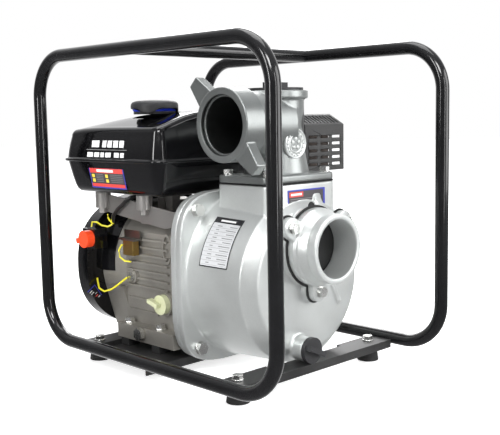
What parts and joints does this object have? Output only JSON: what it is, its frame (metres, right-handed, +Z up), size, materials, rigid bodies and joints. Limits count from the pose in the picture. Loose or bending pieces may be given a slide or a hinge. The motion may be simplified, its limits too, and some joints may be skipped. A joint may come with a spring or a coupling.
{
  "type": "engine-driven centrifugal water pump",
  "caption": "Self-priming centrifugal water pump on a small petrol engine in a black tubular carrying frame, with side outlet, front suction port and fuel tank.",
  "frame": {"origin": "on the ground under the middle of the tubular frame, at the level of the rubber feet", "axes": "+Z up; the shaft runs along Y with the suction port facing -Y and the recoil starter facing +Y; the water outlet faces -X"},
  "size_m": [0.36, 0.515, 0.4695],
  "materials": {
    "frame_paint": "gloss",
    "sheet_paint": "satin",
    "rubber": "matt",
    "zinc": "satin",
    "steel": "machined",
    "cast_alu": "cast and painted silver",
    "engine_alu": "cast, warm grey",
    "iron": "as cast",
    "ceramic": "ceramic white",
    "black_plastic": "satin",
    "red_plastic": "gloss",
    "cream_plastic": "satin",
    "tank_paint": "high gloss",
    "brass": "satin",
    "wire": "yellow insulation",
    "rope": "braided",
    "filter": "foam",
    "hot_steel": "heat stained",
    "bare_sheet": "zinc plated sheet"
  },
  "bodies": {
    "frame_and_engine": {"frame_loop_left": "frame_paint", "frame_loop_right": "frame_paint", "top_cross_tube": "frame_paint", "front_crossmember": "sheet_paint", "rear_crossmember": "sheet_paint", "engine_base_plate": "sheet_paint", "rubber_feet": "rubber", "foot_bolts": "zinc", "engine_mount_pads": "rubber", "engine_bolts": "zinc", "pump_adapter": "cast_alu", "pump_casing": "cast_alu", "casing_bolts": "zinc", "casing_seal": "rubber", "volute": "iron", "seal_stationary": "ceramic", "discharge_gasket": "rubber", "discharge_body": "cast_alu", "discharge_bolts": "zinc", "suction_gasket": "rubber", "suction_port": "cast_alu", "suction_bolts": "zinc", "crankcase": "engine_alu", "crankcase_cover": "engine_alu", "main_bearings": "steel", "cylinder_head": "engine_alu", "valve_cover": "sheet_paint", "spark_plug": "ceramic", "plug_cap": "rubber", "fan_shroud": "tank_paint", "recoil_housing": "tank_paint", "oil_alert_unit": "brass", "engine_wires": "wire", "tank_lower_shell": "tank_paint", "tank_upper_shell": "tank_paint", "tank_bracket": "bare_sheet", "carburettor": "engine_alu", "air_cleaner_base": "black_plastic", "filter_element": "filter", "air_cleaner_cover": "black_plastic", "muffler": "hot_steel", "muffler_shield": "sheet_paint"},
    "rotor": {"crankshaft": "steel", "flywheel": "iron", "impeller": "iron", "seal_rotating": "steel"},
    "piston": {"piston": "engine_alu"},
    "starter_reel": {"starter_reel": "black_plastic", "starter_rope": "rope"},
    "starter_grip": {"starter_grip": "black_plastic"},
    "switch": {"switch_knob": "red_plastic"},
    "fuel_cap": {"fuel_cap": "black_plastic"},
    "priming_cap": {"priming_cap": "black_plastic"},
    "drain_plug": {"drain_plug": "black_plastic"},
    "oil_filler_cap": {"oil_filler_cap": "cream_plastic"},
    "outlet_ring": {"outlet_ring_nut": "cast_alu"},
    "check_flap": {"check_flap": "rubber"},
    "throttle": {"throttle_lever": "bare_sheet"},
    "choke": {"choke_lever": "black_plastic"},
    "fuel_valve": {"fuel_valve_lever": "black_plastic"}
  },
  "joints": [
    {"name": "rotor_spin", "type": "hinge", "parent": "frame_and_engine", "child": "rotor", "pos_m": [0.008, 0, 0.139], "axis": [0, 1, 0], "continuous": true},
    {"name": "piston_slide", "type": "slide", "parent": "frame_and_engine", "child": "piston", "axis": [0.9063, 0, 0.4226], "range_m": [-0.027, 0.027]},
    {"name": "starter_pull", "type": "slide", "parent": "frame_and_engine", "child": "starter_grip", "axis": [0, 1, 0], "range_m": [0, 0.5]},
    {"name": "reel_spin", "type": "hinge", "parent": "frame_and_engine", "child": "starter_reel", "pos_m": [0.008, 0, 0.139], "axis": [0, 1, 0], "range_deg": [0, 760]},
    {"name": "switch_turn", "type": "hinge", "parent": "frame_and_engine", "child": "switch", "pos_m": [-0.137, 0.177, 0.1855], "axis": [1, 0, 0], "range_deg": [-60, 0]},
    {"name": "fuel_cap_lift", "type": "slide", "parent": "frame_and_engine", "child": "fuel_cap", "axis": [0, 0, 1], "range_m": [0, 0.06]},
    {"name": "priming_cap_lift", "type": "slide", "parent": "frame_and_engine", "child": "priming_cap", "axis": [0, 0, 1], "range_m": [0, 0.05]},
    {"name": "drain_plug_pull", "type": "slide", "parent": "frame_and_engine", "child": "drain_plug", "axis": [0, -1, 0], "range_m": [0, 0.05]},
    {"name": "oil_cap_pull", "type": "slide", "parent": "frame_and_engine", "child": "oil_filler_cap", "axis": [-1, 0, 0], "range_m": [0, 0.03]},
    {"name": "outlet_ring_turn", "type": "hinge", "parent": "frame_and_engine", "child": "outlet_ring", "pos_m": [-0.0785, -0.08, 0.355], "axis": [1, 0, 0], "continuous": true},
    {"name": "check_flap_swing", "type": "hinge", "parent": "frame_and_engine", "child": "check_flap", "pos_m": [0.008, -0.145, 0.2265], "axis": [1, 0, 0], "range_deg": [0, 25]},
    {"name": "throttle_turn", "type": "hinge", "parent": "frame_and_engine", "child": "throttle", "pos_m": [0.084, 0.165, 0.2363], "axis": [0, 0, 1], "range_deg": [-20, 20]},
    {"name": "choke_turn", "type": "hinge", "parent": "frame_and_engine", "child": "choke", "pos_m": [0.1524, 0.166, 0.19], "axis": [1, 0, 0], "range_deg": [0, 60]},
    {"name": "fuel_valve_turn", "type": "hinge", "parent": "frame_and_engine", "child": "fuel_valve", "pos_m": [0.1524, 0.155, 0.154], "axis": [1, 0, 0], "range_deg": [-60, 0]}
  ],
  "couplings": [
    {"joint": "reel_spin", "follows": "starter_pull", "rad_per_m": 25.974}
  ]
}
